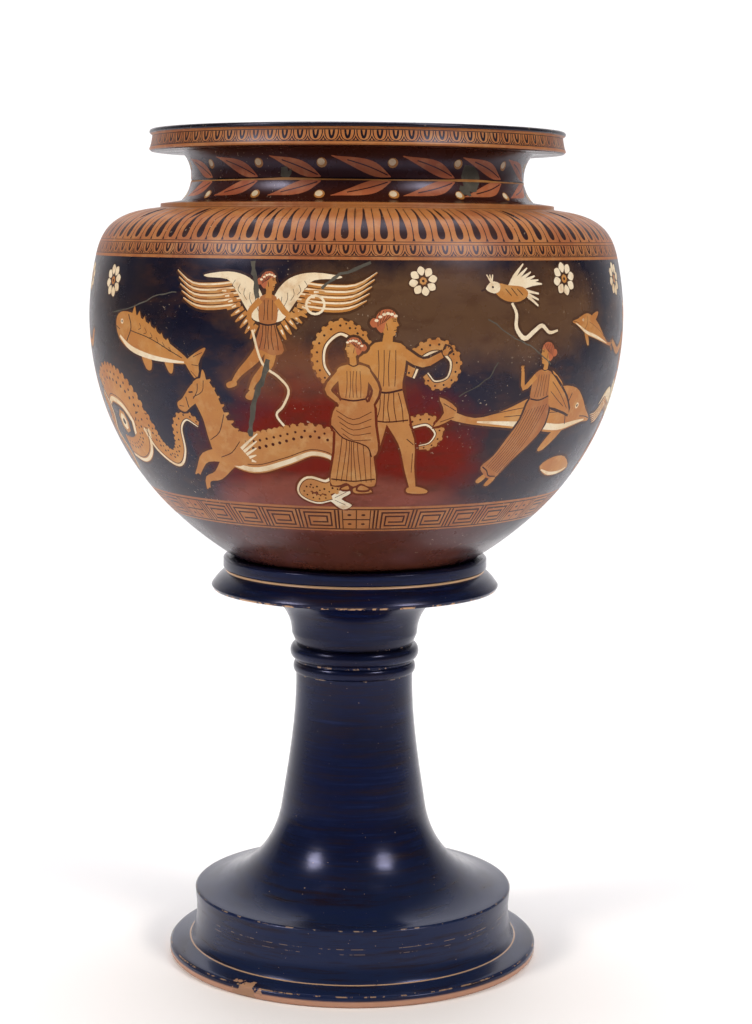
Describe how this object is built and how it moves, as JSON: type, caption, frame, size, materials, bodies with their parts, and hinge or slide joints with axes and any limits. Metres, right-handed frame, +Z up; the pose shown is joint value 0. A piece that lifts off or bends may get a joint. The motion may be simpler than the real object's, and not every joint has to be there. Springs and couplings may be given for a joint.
{
  "type": "dinos on a stand",
  "caption": "Round-bottomed pottery mixing bowl with a wide rim, painted in the red-figure way, resting in its own tall black turned stand.",
  "frame": {"origin": "centre of the stand's foot, on the ground", "axes": "+Z up the turning axis of bowl and stand, -Y towards the painted front"},
  "size_m": [0.3566, 0.3574, 0.5613],
  "materials": {
    "red_figure_pottery": "fired orange clay, painted with glossy black slip and figures left in the clay colour",
    "black_slip_pottery": "fired clay under a glossy blue-black slip, with reserved and worn lines of bare clay"
  },
  "bodies": {
    "root": {"bowl": "red_figure_pottery", "stand": "black_slip_pottery"}
  },
  "joints": []
}
